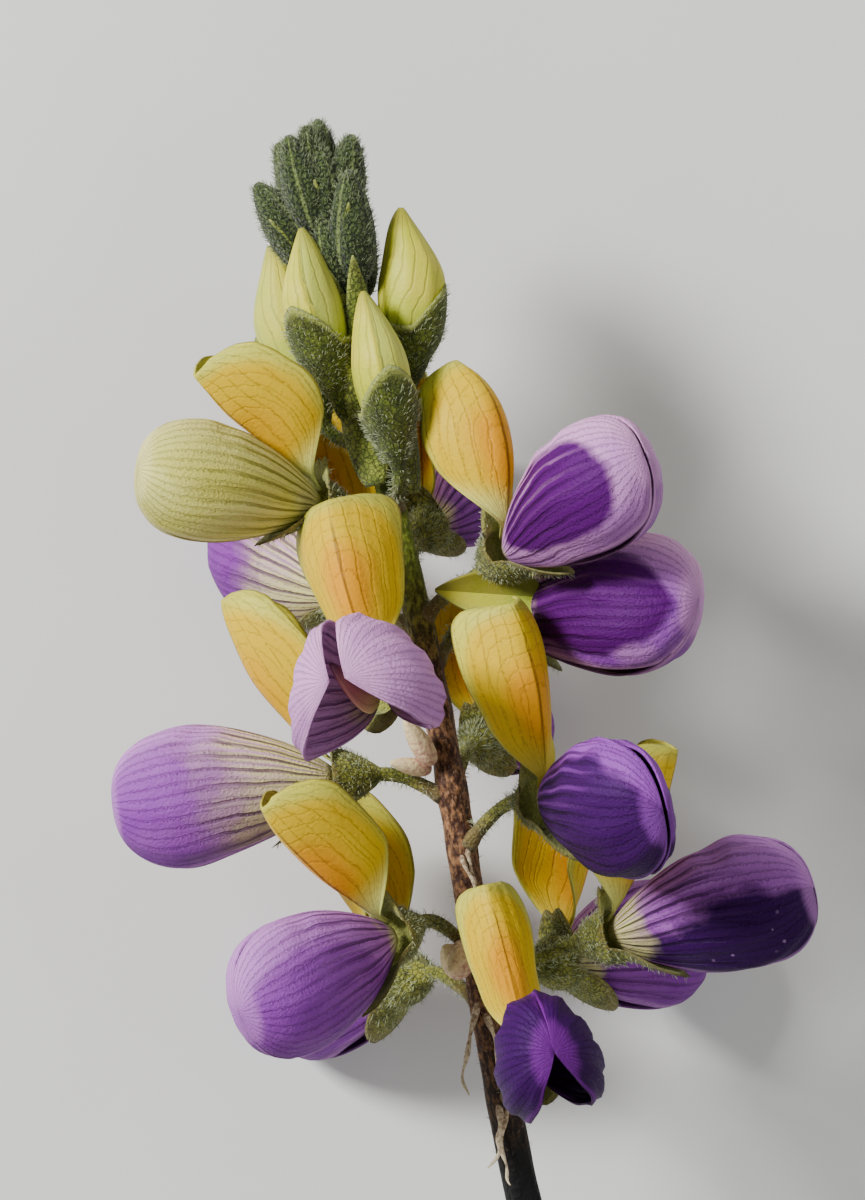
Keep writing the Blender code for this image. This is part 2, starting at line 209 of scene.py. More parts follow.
# height, side, reach, lean, length and width of each unopened bud at the tip; the first is the core.
TIP_BUDS = (
    (43.8, 0, 0.0, 0, 6.4, 2.3),
    (43.2, 168, 1.5, 22, 6.4, 3.0),
    (41.4, 48, 1.75, 13, 7.4, 3.2),
    (42.4, 290, 1.75, 16, 6.6, 3.0),
    (45.2, 120, 1.0, 10, 6.6, 3.0),
    (45.6, 20, 1.1, 22, 5.8, 2.9),
    (45.4, 235, 1.1, 16, 5.6, 2.7),
    (47.4, 340, 0.6, 6, 5.2, 2.4),
)


# Small buds and slim bracts that fill the spike between its larger buds: height, side, reach, lean,
# length and width.
FILLING_BUDS = (
    (39.6, 96, 1.2, 7, 6.6, 2.5),
    (39.0, 250, 1.3, 9, 6.4, 2.6),
    (40.4, 336, 1.3, 11, 6.4, 2.6),
    (44.4, 66, 1.0, 8, 6.2, 2.6),
    (46.2, 180, 0.9, 10, 5.4, 2.3),
    (47.6, 80, 0.7, 9, 4.6, 2.2),
)
BRACTS = (
    (28.6, 96, 1.1, 7, 10.0, 1.9),
    (29.4, 30, 1.1, 9, 9.0, 1.7),
    (31.0, 60, 1.0, 4, 9.5, 1.9),
    (31.6, 350, 1.0, 8, 8.5, 1.7),
    (32.4, 150, 1.1, 8, 9.0, 1.8),
    (33.4, 100, 1.0, 4, 8.5, 2.0),
    (34.6, 40, 1.0, 5, 8.0, 1.8),
    (35.2, 260, 1.0, 8, 8.0, 1.8),
    (37.6, 130, 1.0, 12, 7.0, 1.5),
    (38.4, 20, 1.1, 14, 7.0, 1.5),
    (39.4, 70, 1.2, 8, 7.0, 1.5),
    (41.0, 150, 1.3, 18, 6.0, 1.3),
    (43.0, 90, 1.2, 12, 5.6, 1.2),
    (43.4, 10, 1.3, 22, 5.2, 1.2),
    (44.8, 210, 1.2, 24, 4.6, 1.1),
    (42.8, 62, 2.9, 14, 3.8, 1.1),
    (43.4, 150, 2.6, 20, 3.4, 1.0),
    (36.6, 72, 2.7, 8, 6.5, 1.7),
    (28.0, 110, 2.4, 4, 9.5, 2.9),
    (30.5, 88, 1.8, 2, 9.5, 2.7),
    (27.0, 40, 2.2, 6, 8.5, 2.5),
    (33.0, 104, 2.0, 3, 9.5, 2.7),
    (31.0, 20, 1.8, 8, 9.0, 2.4),
)

# Heights at which stalks leave the stem.
JOINTS = [flower.height - PEDICEL_DROP for flower in FLOWERS]
JOINTS += [bud.height - BUD_PEDICEL_DROP for bud in BUDS]

# Withered strands that hang from the stem by the lower whorls: height and side, the way each one runs and
# how it curls, length and thickness.
STRANDS = (
    (-6.6, 118, (-0.3, -1.0, 0.4), 0.9, 8.5, 0.22),
    (-7.4, 100, (0.1, -1.0, 0.5), -0.7, 7.0, 0.2),
    (-6.8, 60, (0.5, 0.6, 0.6), 1.1, 5.5, 0.18),
    (-13.6, 110, (-0.45, -0.9, 0.5), 0.8, 6.0, 0.22),
    (-13.9, 84, (-0.3, -1.0, 0.4), -1.0, 7.0, 0.2),
    (3.4, 70, (0.3, -1.0, 0.6), 0.9, 5.0, 0.17),
    (3.0, 96, (-0.1, -1.0, 0.5), -0.8, 5.5, 0.17),
    (-2.9, 40, (0.8, 0.4, 0.7), 0.9, 4.5, 0.17),
)

# Withered flowers beside the stem: height, side, reach, lean, length and width.
REMAINS = (
    (9.4, 128, 1.6, 30, 3.8, 1.5),
    (9.0, 150, 1.4, 70, 3.0, 1.2),
    (-4.6, 132, 1.6, 34, 2.6, 2.0),
    (-2.6, 120, 1.6, 120, 3.0, 1.3),
)

# Pale folded petals between the stalks: where each starts and ends, then its width and curl.
FOLDS = (
    ((8.4, 18.7, 3.1), (1.9, 20.5, 3.5), 3.4, -0.03),
    ((7.6, 18.0, 2.4), (3.6, 16.6, 3.4), 1.8, -0.04),
)


def swell(t, rise, fall):
    """A hump over t from 0 to 1 whose peak is 1: a small rise or fall makes that end blunt."""
    t = min(max(t, 0.0), 1.0)
    peak = rise / (rise + fall)
    return (t / peak) ** rise * ((1 - t) / (1 - peak)) ** fall


def smooth(t):
    t = min(max(t, 0.0), 1.0)
    return t * t * (3 - 2 * t)


def near(distance, width):
    """1 at no distance, fading to 0 over about two widths."""
    return math.exp(-((distance / width) ** 2))


def stem_axis(height):
    return Vector((STEM_SWAY * math.sin(math.pi * height / STEM_SWAY_LENGTH), height, 0.0))


def stem_radius(height):
    share = (height - STEM_CUT) / (STEM_TOP - STEM_CUT)
    return STEM_THICK + (STEM_THIN - STEM_THICK) * share


def outward(side, lift=0.0):
    """Unit vector away from the stem at that side, raised towards the tip by lift."""
    a, e = math.radians(side), math.radians(lift)
    return Vector((math.cos(e) * math.cos(a), math.sin(e), math.cos(e) * math.sin(a)))


def aim(base, forward, up, roll, size):
    """Matrix from a flower's own frame, x forward and z towards its banner, to the spike's."""
    side = up.cross(forward).normalized()
    up = forward.cross(side)
    turn = Matrix((forward, side, up)).transposed() @ Matrix.Rotation(math.radians(roll), 3, "X")
    return Matrix.Translation(base) @ (turn * size).to_4x4()


def flower_frame(flower):
    base = stem_axis(flower.height) + flower.reach * outward(flower.side)
    up = outward(flower.heading, flower.lift + 90)
    return aim(base, outward(flower.heading, flower.lift), up, flower.roll, flower.size)


def bud_frame(height, side, reach, lean, size):
    base = stem_axis(height) + reach * outward(side)
    return aim(base, outward(side, 90 - lean), -outward(side, -lean), 0.0, size)


def find_shift():
    """What to take from a point in the spike's frame to put it where the CAD stem is."""
    low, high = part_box("stem")
    knots = [STEM_CUT + (STEM_TOP - STEM_CUT) * i / STEM_KNOTS for i in range(STEM_KNOTS + 1)]
    leftmost = min(stem_axis(height).x - stem_radius(height) for height in knots)
    rightmost = max(stem_axis(height).x + stem_radius(height) for height in knots)
    middle = (low + high) / (2 * MM)
    return Vector(((leftmost + rightmost) / 2 - middle.x, STEM_CUT - low.y / MM, -middle.z))


SHIFT = find_shift()


# ---- shader expressions


class Value:
    """A shader socket that takes part in ordinary arithmetic."""

    def __init__(self, paint, socket):
        self.paint = paint
        self.socket = socket

    def _math(self, operation, *others):
        return self.paint.node("Math", {"operation": operation}, self, *others)

    def __add__(self, other):
        return self._math("ADD", other)

    __radd__ = __add__

    def __mul__(self, other):
        return self._math("MULTIPLY", other)

    __rmul__ = __mul__

    def __sub__(self, other):
        return self._math("SUBTRACT", other)

    def __rsub__(self, other):
        return self * -1.0 + other

    def __truediv__(self, other):
        return self._math("DIVIDE", other)

    def __pow__(self, other):
        return self._math("POWER", other)

    def abs(self):
        return self._math("ABSOLUTE")

    def sin(self):
        return self._math("SINE")

    def at_least(self, other):
        return self._math("MAXIMUM", other)

    def step(self, start, end):
        """0 before start, 1 after end and smooth between; start may be the larger."""
        settings = {"interpolation_type": "SMOOTHSTEP", "clamp": True}
        if start < end:
            return self.paint.node("MapRange", settings, self, start, end, 0.0, 1.0)
        return self.paint.node("MapRange", settings, self, end, start, 1.0, 0.0)


class Paint:
    """A material with one Principled shader, built up from expressions."""

    def __init__(self, name):
        self.material = bpy.data.materials.new(name)
        self.material.use_nodes = True
        self.tree = self.material.node_tree
        self.shader = self.tree.nodes["Principled BSDF"]
        self.body = None

    def node(self, kind, settings, *inputs, output=0, **named):
        node = self.tree.nodes.new("ShaderNode" + kind)
        for key, value in settings.items():
            setattr(node, key, value)
        for key, value in [*enumerate(inputs), *named.items()]:
            socket = node.inputs[key if isinstance(key, int) else key.replace("_", " ")]
            self.feed(socket, value)
        return Value(self, node.outputs[output])

    def feed(self, socket, value):
        if isinstance(value, Value):
            self.tree.links.new(value.socket, socket)
        elif value is not None:
            socket.default_value = value

    def surface(self, roughness, normal=None, **constants):
        self.feed(self.shader.inputs["Base Color"], self.body)
        self.feed(self.shader.inputs["Roughness"], roughness)
        self.feed(self.shader.inputs["Normal"], normal)
        for key, value in constants.items():
            self.shader.inputs[key.replace("_", " ")].default_value = value
        return self.material

    def petal(self):
        """Where on its own piece a point is: along it, across it, and a third number of its own."""
        place = self.node("Attribute", {"attribute_name": "petal"}, output=1)
        split = self.node("SeparateXYZ", {}, place).socket.node
        return [Value(self, split.outputs[i]) for i in range(3)]

    def place(self, stretch=(1.0, 1.0, 1.0)):
        """The point's place in the object, in millimetres, stretched along each axis."""
        at = self.node("TexCoord", {}, output=3)
        scale = tuple(axis / MM for axis in stretch)
        return self.node("VectorMath", {"operation": "MULTIPLY"}, at, scale)

    def speckle(self, scale, detail=2.0, roughness=0.5, stretch=(1.0, 1.0, 1.0)):
        """Noise from 0 to 1 with scale lumps to the millimetre."""
        return self.node(
            "TexNoise", {}, Vector=self.place(stretch), Scale=scale, Detail=detail, Roughness=roughness
        )

    def cells(self, scale, feature="F1"):
        return self.node("TexVoronoi", {"feature": feature}, Vector=self.place(), Scale=scale)

    def network(self, scale, thin, thick):
        """1 along the borders between cells, scale of them to the millimetre."""
        return self.cells(scale, "DISTANCE_TO_EDGE").step(thick, thin)

    def mix(self, share, first, second):
        node = self.tree.nodes.new("ShaderNodeMix")
        node.data_type = "RGBA"
        for index, value in ((0, share), (6, first), (7, second)):
            self.feed(node.inputs[index], value)
        return Value(self, node.outputs[2])

    def coat(self, share, colour):
        """Lays a colour over what is there, as far as share says."""
        self.body = self.mix(share, self.body, colour)

    def relief(self, height, strength, distance_mm):
        return self.node("Bump", {}, Strength=strength, Distance=distance_mm * MM, Height=height)


def paint_of(red, green, blue):
    """A display colour, 0 to 255 a channel, as the linear colour that a shader takes."""

    def linear(value):
        share = value / 255
        return share / 12.92 if share <= 0.04045 else ((share + 0.055) / 1.055) ** 2.4

    return (linear(red), linear(green), linear(blue), 1.0)


# ---- mesh building


def put_in_scene(name, points, faces, places, material, slot, wall=0.0, replaces=()):
    """Makes a piece from points in the spike's frame, in millimetres, and hands it to the frame."""
    mesh = bpy.data.meshes.new(name)
    mesh.from_pydata([tuple((point - SHIFT) * MM) for point in points], [], faces)
    layer = mesh.attributes.new("petal", "FLOAT_VECTOR", "POINT")
    layer.data.foreach_set("vector", [number for place in places for number in place])
    mesh.shade_smooth()
    mesh.materials.append(material)
    piece = bpy.data.objects.new(name, mesh)
    bpy.context.scene.collection.objects.link(piece)
    if wall:
        thick = piece.modifiers.new("wall", "SOLIDIFY")
        thick.thickness = wall * MM
        thick.offset = 0.0
    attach(piece, "root")
    if replaces:
        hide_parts(*replaces)


def grid(rows, columns, point, rolled=False, ends=False):
    """Points, faces and places of a grid. point(u, v) gives a position and a place, u and v 0 to 1."""
    points, places, faces = [], [], []
    wide = columns if rolled else columns + 1
    for i in range(rows + 1):
        for j in range(wide):
            position, place = point(i / rows, j / columns)
            points.append(position)
            places.append(place)
    for i in range(rows):
        for j in range(columns):
            a, b = i * wide + j, i * wide + (j + 1) % wide
            faces.append((a, a + wide, b + wide, b))
    if ends:
        faces.append(tuple(range(wide)))
        faces.append(tuple(reversed(range(rows * wide, (rows + 1) * wide))))
    return points, faces, places


def in_frame(matrix, point):
    def placed(u, v):
        position, place = point(u, v)
        return matrix @ position, place

    return placed


def round_path(path, t, up, angle, radius):
    """The point at that angle from up and that radius round path(t), square to the path."""
    ahead = (path(min(t + 0.01, 1.0)) - path(max(t - 0.01, 0.0))).normalized()
    aside = up.cross(ahead).normalized()
    over = ahead.cross(aside)
    return path(t) + radius * (math.sin(angle) * aside + math.cos(angle) * over)


def tube(path, radius, rows, columns):
    """A round strand along path(t) with radius(t), closed at both ends."""
    up = Vector((0.3, 0.2, 1.0)).normalized()

    def point(u, v):
        return round_path(path, u, up, 2 * math.pi * v, radius(u)), (u, 0.0, 0.0)

    return grid(rows, columns, point, rolled=True, ends=True)


# ---- petals

# Wing colours and marks. The fourth field is (along, turn, length, height) of the dark area of painted
# shade in the wing's hollow, in shares of the wing; cream is how far the pale claw reaches; gape turns
# each wing out, in degrees, left then right. banner is its width against the usual one, how far its sides
# fold, and its added opening and recurve. wide holds each wing's width against the usual one, a smaller
# blunt squares off the banner's end, and flecks is how clearly pale flecks show.
Look = namedtuple(
    "Look", "pale body deep patch strength cream ridge seed gape banner wide blunt flecks",
    defaults=((0, 0), (1.0, 92, 0, 0), (1, 1), 0.42, 0.0),
)

LILAC = paint_of(186, 122, 196)
LILAC_PINK = paint_of(206, 150, 196)
MAUVE = paint_of(146, 72, 174)
VIOLET = paint_of(116, 32, 140)
DARK_VIOLET = paint_of(80, 2, 98)
INK_VIOLET = paint_of(48, 0, 72)
CREAM = paint_of(222, 214, 140)
PALE_YELLOW = paint_of(206, 204, 96)
STRAW = paint_of(180, 172, 56)

FACING_AWAY = Look(LILAC, MAUVE, VIOLET, (0.6, 0.6, 0.5, 0.5), 0.5, 0.2, 0.8, 0)
LOOKS = {
    "lower_left": Look(
        LILAC, MAUVE, VIOLET, (0.75, 0.8, 0.5, 0.5), 0.5, 0.16, 1.1, 1, (0, 0), (0.95, 92, 0, 0), blunt=0.5
    ),
    "lower_front": Look(
        VIOLET, DARK_VIOLET, INK_VIOLET, (0.6, 0.62, 0.75, 0.7), 0.95, 0.06, 2.5, 2, (0, 0),
        (0.66, 70, 2, 2), (0.96, 0.96), 0.24,
    ),
    "lower_right": Look(
        LILAC, VIOLET, INK_VIOLET, (0.94, 1.0, 0.84, 0.58), 1.0, 0.24, 2.2, 3, (1, 0), (0.95, 92, -4, 0),
        flecks=0.35,
    ),
    "lower_back_right": FACING_AWAY._replace(strength=0.6, seed=4),
    "lower_back_left": FACING_AWAY._replace(seed=5),
    "middle_left": Look(
        LILAC, MAUVE, VIOLET, (0.85, 0.8, 0.5, 0.6), 0.5, 0.62, 1.4, 6, (0, 0), (0.96, 92, 0, 4), blunt=0.55
    ),
    "middle_right": Look(
        MAUVE, DARK_VIOLET, INK_VIOLET, (0.66, 0.75, 0.66, 0.56), 0.9, 0.16, 2.4, 7, (0, 1.2),
        (0.92, 84, 0, 6), (0.55, 1), 0.24,
    ),
    "middle_back": FACING_AWAY._replace(seed=8),
    "upper_front": Look(
        LILAC_PINK, LILAC_PINK, LILAC, (0.8, 0.55, 0.45, 0.5), 0.3, 0.24, 2.0, 9, (6, -2),
        (0.98, 70, 0, 6), (1.14, 0.66), 0.22,
    ),
    "upper_right": Look(LILAC_PINK, MAUVE, DARK_VIOLET, (0.54, 0.58, 0.4, 0.3), 1.0, 0.26, 1.3, 10),
    "upper_back_left": Look(LILAC, MAUVE, VIOLET, (0.8, 0.6, 0.35, 0.55), 0.8, 0.55, 0.9, 11),
    "upper_back_right": FACING_AWAY._replace(seed=12),
    "top_right": Look(
        LILAC_PINK, LILAC, DARK_VIOLET, (0.52, 0.54, 0.42, 0.3), 1.0, 0.1, 1.3, 13, (1, 0),
        (1.0, 92, -4, 22), blunt=0.55,
    ),
    "top_left": Look(
        CREAM, PALE_YELLOW, STRAW, (0.5, 0.3, 0.5, 0.4), 0.4, 0.2, 0.9, 14, (0, 0), (1.14, 70, -7, -3)
    ),
}
# Banners with a pale base, and those whose orange heart is weaker than the rest.
PALE_BASED = {"top_right", "middle_left", "lower_right", "lower_left", "top_left", "upper_right"}
ORANGE_SHARES = {"top_left": 0.4, "upper_right": 0.1, "middle_left": 0.5}


def wing_half_height(x):
    return WING_HEIGHT / 2 * swell((x - WING_START) / (FLOWER_LENGTH - WING_START), 0.8, 0.4)


def wing_half_width(x):
    return WING_WIDTH / 2 * swell((x - WING_START) / (FLOWER_LENGTH - WING_START), 0.9, 0.5)


def wing_point(flower, look, side):
    """One wing, side 1 or -1: u runs from claw to tip and v from the seam on top to the lower edge."""
    gape = math.radians(look.gape[side < 0])
    turn_out = Matrix.Rotation(side * gape, 4, "Z")
    hinge = Vector((WING_START, 0.0, 0.0))
    seed = look.seed * 1.7 + side

    def point(u, v):
        t = 0.03 + 0.9698 * (1 - (1 - u) ** 2)
        x = WING_START + (FLOWER_LENGTH - WING_START) * t
        blade = smooth(3 * u) * smooth(5 * (1 - u))
        cap = 1 - 0.95 * smooth(WING_ROWS * (u - 1) + 1)
        wave = 0.035 * math.sin(9 * u + seed) + 0.02 * math.sin(23 * u + 2 * seed)
        slit = WING_SLIT_ANGLE + (184 - WING_SLIT_ANGLE) * smooth(2.2 * u - 0.5) * (flower.splay == 0)
        angle = math.radians(slit) * v + wave * smooth(3 * v - 2) * blade
        ribs = 0.014 * math.sin(31 * v + 4 * u + 2.2 * math.sin(5 * u + seed) + seed)
        fine_ribs = 0.005 * math.sin(67 * v + 9 * u - seed)
        puckers = 0.02 * math.sin(34 * u - 9 * v) * near(u - 0.34, 0.14) * near(v - 0.2, 0.12)
        crease = -0.035 * near(v, 0.03) - 0.02 * smooth(8 * v - 7)
        lumps = 0.024 * look.ridge * noise.noise(Vector((3.4 * u, 2.8 * v, seed)))
        swollen = 1 + blade * (look.ridge * (ribs + fine_ribs + puckers) + crease + lumps)
        width = wing_half_width(x) * swollen * cap * look.wide[side < 0]
        height = wing_half_height(x) * swollen * cap
        spread = flower.splay * smooth(1.4 * t) * height * (1 - math.cos(angle))
        gap = 0.02 * blade
        across = side * (width * math.sin(angle) + spread + gap)
        position = Vector((x, across, height * math.cos(angle)))
        return turn_out @ (position - hinge) + hinge, (t, v, side)

    return point


def banner_point(flower, look):
    """The banner: a narrow claw that bends up from the cup, then a blade with its sides folded back."""
    seed = look.seed * 2.3
    width_share, fold, opened, curved = look.banner
    opening = flower.opening + opened

    def point(u, v):
        run = u * BANNER_LENGTH
        turned = smooth(run / BANNER_CLAW_LENGTH)
        rise_angle = BANNER_FOOT_ANGLE + (opening - BANNER_FOOT_ANGLE) * turned
        lean = math.radians(rise_angle + (BANNER_RECURVE + curved) * u * u)
        foot = Vector((BANNER_FOOT[0], 0.0, BANNER_FOOT[1]))
        claw = math.radians(BANNER_CLAW_ANGLE)
        early = min(run, BANNER_CLAW_LENGTH)
        spine = foot + early * Vector((math.cos(claw), 0, math.sin(claw)))
        spine += (run - early) * Vector((math.cos(lean), 0, math.sin(lean)))
        share = 2 * v - 1
        wide = 1 + (width_share - 1) * smooth(2 * u)
        blade = wide * BANNER_WIDTH / 2 * swell(0.06 + 0.935 * u, 0.75, look.blunt)
        edge = 1 + 0.03 * math.sin(11 * u + seed + 2 * math.copysign(1, share)) * smooth(3 * u)
        half = max(blade * smooth(run / BANNER_TAPER) * edge, BANNER_CLAW_HALF_WIDTH * smooth(0.4 + u * 3))
        across = abs(share) * half
        start = math.radians(BANNER_FOLD_START) * smooth(run / 3)
        grow = (math.radians(fold) * smooth(run / 4) - start) / half + 1e-6
        aside = (math.sin(start + grow * across) - math.sin(start)) / grow
        back = (math.cos(start) - math.cos(start + grow * across)) / grow
        open_blade = smooth(1.6 * u)
        groove = 0.16 * near(across, 0.3) * open_blade * smooth(4 * (1 - u))
        ribs = 0.035 * math.sin(5.2 * across + 0.8 * math.sin(4 * u + seed)) * open_blade
        curl = 0.35 * smooth(4 * abs(share) - 3) * math.sin(5 * u + seed + share)
        lumps = 0.22 * noise.noise(Vector((3.0 * u, 1.6 * share, seed))) * open_blade
        behind = Vector((-math.sin(lean), 0, math.cos(lean)))
        depth = back + groove + ribs + lumps + 0.5 * curl
        position = spine + depth * behind + Vector((0, math.copysign(aside, share), 0))
        return position, (u, share, look.seed)

    return point


def keel_point(u, v):
    """The keel: a flattened sickle between the wings, with a sharp lower edge."""
    x = KEEL_START + KEEL_LENGTH * u
    height = KEEL_HEIGHT / 2 * max(swell(0.08 + 0.9 * u, 0.5, 0.7), 0.1)
    widest = min(KEEL_HALF_WIDTH, KEEL_SHARE * wing_half_width(x))
    width = widest * max(swell(0.1 + 0.88 * u, 0.5, 0.5), 0.15)
    middle = KEEL_TIP_RISE * u * u - KEEL_DIP * math.sin(math.pi * u)
    angle = 2 * math.pi * v
    thin = 1 - 0.45 * max(0.0, -math.cos(angle))
    rib = 1 + 0.05 * math.sin(14 * u + 3 * math.cos(angle))
    position = Vector((x, width * thin * rib * math.sin(angle), middle + height * math.cos(angle)))
    return position, (u, math.cos(angle), 0.0)


# ---- calyxes and pedicels


def off_top(angle):
    """The unsigned turn, 0 to pi, of that angle from the upper side."""
    return abs((angle + math.pi) % (2 * math.pi) - math.pi)


def lobe(turn, spread):
    """A pointed sepal: 1 on its midline, 0 from spread radians away."""
    away = min(abs(turn) / spread, 1.0)
    return (1 - away) ** 1.1 * (1 + 0.75 * away)


def sepal_length(angle, lower_lip):
    """How far the calyx reaches at that angle from its top: a two-toothed upper lip, a long lower one."""
    tooth = lobe(off_top(angle) - 0.3, UPPER_LIP_SPREAD - 0.35)
    upper = UPPER_LIP * tooth
    lower = lower_lip * lobe(math.pi - off_top(angle), LOWER_LIP_SPREAD)
    return CUP_DEPTH + upper + lower


def calyx_skin(x, angle, inset):
    """A point on the calyx at distance x from its bottom, inset from its outer face."""
    cup = PEDICEL_RADIUS + (CUP_RADIUS - PEDICEL_RADIUS) * smooth(0.25 + 0.75 * x / CUP_DEPTH) ** 0.8
    if off_top(angle) > math.pi / 2:
        hug = max(cup, wing_half_height(x) + LIP_GAP)
        radius = hug - inset
        return Vector((x, radius * math.sin(angle) * CALYX_NARROWING, radius * math.cos(angle)))
    past = max(0.0, x - CUP_DEPTH)
    lift = math.radians(LIP_LIFT_ANGLE)
    lean = lift * smooth(past / LIP_BEND)
    radius = cup - inset * math.cos(lean)
    forward = x - past * (1 - math.cos(lift)) - (CALYX_WALL - inset) * math.sin(lean)
    return Vector((forward, radius * math.sin(angle), radius * math.cos(angle) + past * math.sin(lift)))


def pedicel_path(matrix, height, side, drop):
    """Points from the stem's skin to the bottom of a calyx, in the spike's frame."""
    base = matrix.translation
    forward = matrix.col[0].to_3d().normalized()
    root_height = height - drop
    root = stem_axis(root_height) + (stem_radius(root_height) + JOIN_GAP - STALK_SINK) * outward(side)
    span = (base - root).length
    leaving = root + outward(side, PEDICEL_LEAVE_ANGLE) * span * 0.4
    arriving = base - forward * span * 0.4

    def at(t):
        s = 1 - t
        return s**3 * root + 3 * s * s * t * leaving + 3 * s * t * t * arriving + t**3 * base

    return at


def calyx_point(matrix, path, skin, length_at, inner_start, rings):
    """Skin of a pedicel with its calyx: out along the stalk and the sepals, then back inside them."""
    stalk, outer, inner = rings
    up = matrix.col[2].to_3d().normalized()

    def point(u, v):
        ring = round(u * (stalk + outer + inner))
        angle = 2 * math.pi * v
        if ring < stalk:
            t = ring / stalk
            foot = 1 + 0.5 * (1 - smooth(6 * t))
            radius = PEDICEL_RADIUS * foot * (1 + 0.06 * math.sin(4 * angle + 9 * t))
            return round_path(path, t, up, angle, radius), (-1 + t, math.cos(angle), 0.0)
        reach = length_at(angle)
        ring -= stalk
        if ring <= outer:
            share = ring / outer
            rib = 0.05 * math.cos(5 * angle) * smooth(2 * share) * (1 - share)
            position = skin(reach * share, angle, -rib)
            return matrix @ position, (share, math.cos(angle), 0.0)
        ring -= outer
        if ring < inner:
            share = 1 - ring / inner
            depth = max(reach * share, inner_start)
            return matrix @ skin(depth, angle, CALYX_WALL), (share, math.cos(angle), 1.0)
        return matrix @ skin(inner_start, angle, CALYX_WALL), (0.0, math.cos(angle), 1.0)

    return point


def hair_tuft(spots, seed, radius=HAIR_RADIUS):
    """Fine tapering hairs, each from a spot given as position, direction and length."""
    shake = random.Random(seed)
    points, faces, places = [], [], []
    for position, direction, length in spots:
        direction = direction.normalized()
        sway = Vector((shake.uniform(-1, 1), shake.uniform(-1, 1), shake.uniform(-1, 1)))
        sway = (sway - sway.dot(direction) * direction) * HAIR_SWAY
        aside = direction.orthogonal().normalized()
        over = direction.cross(aside)
        first = len(points)
        tint = shake.random()
        for t, thick in ((0.0, 1.0), (0.5, 0.75)):
            centre = position + length * (t * direction + t * t * sway)
            for corner in range(3):
                angle = 2 * math.pi * corner / 3
                points.append(centre + radius * thick * (math.cos(angle) * aside + math.sin(angle) * over))
                places.append((t, tint, 0.0))
        points.append(position + length * (direction + sway))
        places.append((1.0, tint, 0.0))
        for corner in range(3):
            a, b = first + corner, first + (corner + 1) % 3
            faces.append((a, b, b + 3, a + 3))
            faces.append((a + 3, b + 3, first + 6))
    return points, faces, places


def hairs_on(point, count, seed, length, lean, spread):
    """Spots spread over point(u, v), leaning towards larger u by lean."""
    shake = random.Random(seed)
    spots = []
    for _ in range(count):
        u = shake.uniform(*spread)
        v = shake.random()
        here = point(u, v)
        ahead = point(min(u + 0.02, 1.0), v) - here
        beside = point(u, v + 0.02) - here
        out = ahead.cross(beside)
        if out.length < 1e-7 or ahead.length < 1e-7:
            continue
        direction = out.normalized() + lean * ahead.normalized()
        spots.append((here, direction, length * shake.uniform(0.6, 1.3)))
    return spots


# ---- buds


def bud_radii(x):
    """Half width and half height of a bud's folded petals at distance x from its bottom."""
    share = swell((x - BUD_PETAL_START) / (BUD_LENGTH - BUD_PETAL_START), 0.45, 0.75)
    return BUD_WIDTH / 2 * share, BUD_HEIGHT / 2 * share


def bud_petal_point(seed):
    """A bud's banner folded round the rest: one edge overlaps the other in a line down the front."""

    def point(u, v):
        x = BUD_PETAL_START + (BUD_LENGTH - BUD_PETAL_START) * (0.02 + 0.965 * u)
        width, height = bud_radii(x)
        angle = 2 * math.pi * v
        seam = math.pi + 0.5 * math.sin(2.6 * u + seed) - 0.2
        past = (angle - seam) % (2 * math.pi)
        overlap = 0.09 * math.exp(-past / 0.8) * smooth(5 * u) * smooth(6 * (1 - u))
        ridge = 0.05 * near(off_top(angle), 0.25) * smooth(3 * u)
        flutes = 0.016 * math.sin(9 * angle + 3 * u + seed) * smooth(4 * (1 - u))
        fuller = 1 + 0.14 * near(u - 0.55, 0.25)
        grown = (1 + overlap + ridge + flutes) * fuller
        hook = 0.9 * smooth(2.2 * u - 1.2)
        wide = max(width, BUD_TIP_HALF_WIDTH) * grown
        high = max(height, BUD_TIP_HALF_WIDTH) * grown
        position = Vector((x, wide * math.sin(angle), high * math.cos(angle) + hook))
        return position, (u, past / (2 * math.pi), seed)

    return point


def bud_sepal_length(angle):
    upper = BUD_UPPER_LIP * lobe(off_top(angle), BUD_UPPER_LIP_SPREAD)
    lower = BUD_LOWER_LIP * lobe(math.pi - off_top(angle), BUD_LOWER_LIP_SPREAD)
    return BUD_CUP_DEPTH + upper + lower


def bud_skin(x, angle, inset):
    width, height = bud_radii(max(x, BUD_PETAL_START + 0.4))
    start = smooth(0.3 + 0.7 * x / 1.8)
    clear = BUD_CALYX_GAP + CALYX_WALL - inset
    wide = PEDICEL_RADIUS + (max(width * 1.08, 0.9) + clear - PEDICEL_RADIUS) * start
    high = PEDICEL_RADIUS + (max(height * 1.08, 1.1) + clear - PEDICEL_RADIUS) * start
    return Vector((x, wide * math.sin(angle), high * math.cos(angle)))


def tip_bud_point(length, width, seed):
    """A small closed bud: three sepals that meet in shallow grooves, drawn to a point."""

    def point(u, v):
        share = swell(0.03 + 0.95 * u, 0.4, 0.7)
        angle = 2 * math.pi * v
        groove = 1 - 0.12 * near(math.sin(1.5 * angle + seed), 0.22) * smooth(2 * u)
        radius = width / 2 * share * groove
        return Vector((length * u, radius * math.sin(angle), radius * math.cos(angle))), (
            u, math.sin(1.5 * angle + seed), seed,
        )

    return point


def bract_point(length, width, curl):
    """A slim pointed leaf along +x, hollow towards the stem, its tip bending away from it."""

    def point(u, v):
        half = width / 2 * max(swell(0.04 + 0.95 * u, 0.5, 0.9), 0.03)
        share = 2 * v - 1
        rise = curl * u * u * length + 0.35 * half * share * share
        return Vector((length * u, half * share, rise)), (u, share, 0.0)

    return point


# ---- materials


